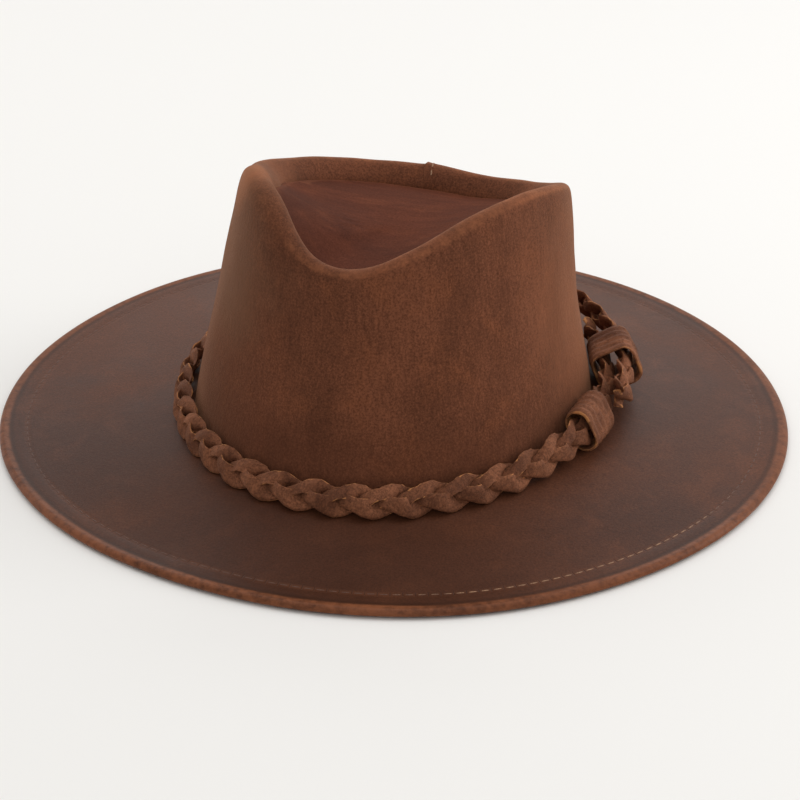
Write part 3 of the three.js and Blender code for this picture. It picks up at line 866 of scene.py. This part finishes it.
def hem_stitches(brim, edge, count):
    """Places along the stitch line of the brim's hem."""
    turns, reach, lengths = edge
    whole = lengths[-1] - lengths[1]
    places = []
    for i in range(count):
        turn = float(np.interp((i + 0.5) * whole / count, lengths, turns))
        radius = float(np.interp(turn, turns, reach)) - HEM_STITCH_INSET
        above = Vector((radius * math.cos(turn), radius * math.sin(turn), BRIM_PROBE_HEIGHT))
        hit, point, normal, _ = brim.ray_cast(above, DOWN)
        if hit:
            places.append((point, Vector((-math.sin(turn), math.cos(turn), 0)), normal))
    return places


def crest_top(crown):
    """The highest point of the back crest beside the seam."""
    starts = [Vector((SEAM_STITCH_ASIDE, step * MM, PROBE_DISTANCE)) for step in CREST_BEHIND]
    return max((crown.ray_cast(start, DOWN)[1] for start in starts), key=lambda point: point.z)


def seam_rays(crown):
    """Rays at the crown beside its seam, each a start and a direction: up the back of the wall,
    over the crest and down inside."""
    top = crest_top(crown)
    centre = Vector((SEAM_STITCH_ASIDE, top.y, top.z - ROLL_DROP))
    rays = []
    height = SEAM_FOOT
    while height < centre.z:
        rays.append((Vector((SEAM_STITCH_ASIDE, PROBE_DISTANCE, height)), Vector((0, -1, 0))))
        height += WALL_STEP
    for degrees in ROLL_DEGREES:
        away = Vector((0, math.cos(math.radians(degrees)), math.sin(math.radians(degrees))))
        rays.append((centre + away * ROLL_PROBE_REACH, -away))
    return rays


def seam_stitches(crown):
    """Places up the crown's back beside the lapped seam, over the crest and down inside."""
    path = []
    for start, direction in seam_rays(crown):
        hit, point, normal, _ = crown.ray_cast(start, direction)
        if hit:
            path.append((point, normal))
    places = []
    run = 0
    due = SEAM_STITCH_PITCH / 2
    for (here, normal), (after, _) in zip(path, path[1:]):
        run += (after - here).length
        if run >= due and (after - here).length > 0:
            places.append((here, (after - here).normalized(), normal))
            due += SEAM_STITCH_PITCH
    return places


# The hat's pieces

def make_crown(finish):
    crown = copy_of("crown_side", "crown_wall_and_roll")
    crease(crown, LAP_ANGLE, LAP_CREASE, keep=on_back_seam)
    smooth_out(crown, SHELL_LEVELS)
    ripple(crown, CROWN_WAVES)
    spare_seam(crown, mark_worn(crown, CROWN_GAIN))
    finish_piece(crown, finish, "crown_leather", "crown_side")
    return crown


def make_tip(finish):
    tip = copy_of("crown_tip", "tip_panel")
    crease(tip, TIP_ANGLE, TIP_CREASE)
    smooth_out(tip, SHELL_LEVELS)
    ripple(tip, TIP_WAVES)
    fill_seam(tip)
    mark_worn(tip, CROWN_GAIN)
    finish_piece(tip, finish, "tip_leather", "crown_tip")


def make_brim(finish):
    """The brim, with its outline and its number of stitches."""
    brim = copy_of("brim", "brim_with_hem")
    smooth_out(brim, SHELL_LEVELS)
    edge = edge_of(brim)
    count = hem_map(brim, edge)
    mark_worn(brim, BRIM_GAIN)
    finish_piece(brim, finish, "brim_leather", "brim")
    return brim, edge, count


def make_strip(number, finish):
    strip = copy_of(f"plait_strand_{number}", f"leather_strand_{number}")
    mark_cut(strip, CUT_ANGLE)
    soften(strip)
    spread(strip)
    crease(strip, SIDE_ANGLE, SIDE_CREASE)
    smooth_out(strip, BAND_LEVELS)
    ripple(strip, STRIP_WAVES)
    mark_worn(strip, BAND_GAIN, BAND_PASSES)
    finish_piece(strip, finish, "band_leather", f"plait_strand_{number}")


def make_loop(side, finish):
    loop = copy_of(f"band_loop_{side}", f"wrapped_loop_{side}")
    mark_cut(loop, MOUTH_ANGLE)
    crease(loop, RIB_ANGLE, RIB_CREASE)
    smooth_out(loop, BAND_LEVELS)
    ripple(loop, LOOP_WAVES)
    mark_worn(loop, BAND_GAIN, BAND_PASSES)
    finish_piece(loop, finish, "band_leather", f"band_loop_{side}")


add_camera()
add_studio()

DYE = make_dye_group()
WEAR = make_wear_group()
GRAIN = make_grain_group()

crown = make_crown(crown_leather())
make_tip(tip_leather())
brim, edge, stitch_count = make_brim(brim_leather())
band_finish = band_leather()
for number in (1, 2, 3):
    make_strip(number, band_finish)
for side in ("front", "back"):
    make_loop(side, band_finish)

bpy.context.view_layer.update()
hem_places = hem_stitches(brim, edge, stitch_count)
sew("hem_stitches", HEM_STITCH_LENGTH, hem_places, waxed_thread("oiled_thread", False), "brim_leather")
seam_places = seam_stitches(crown)
sew("back_seam_stitches", SEAM_STITCH_LENGTH, seam_places, waxed_thread("tan_thread", True), "crown_leather")
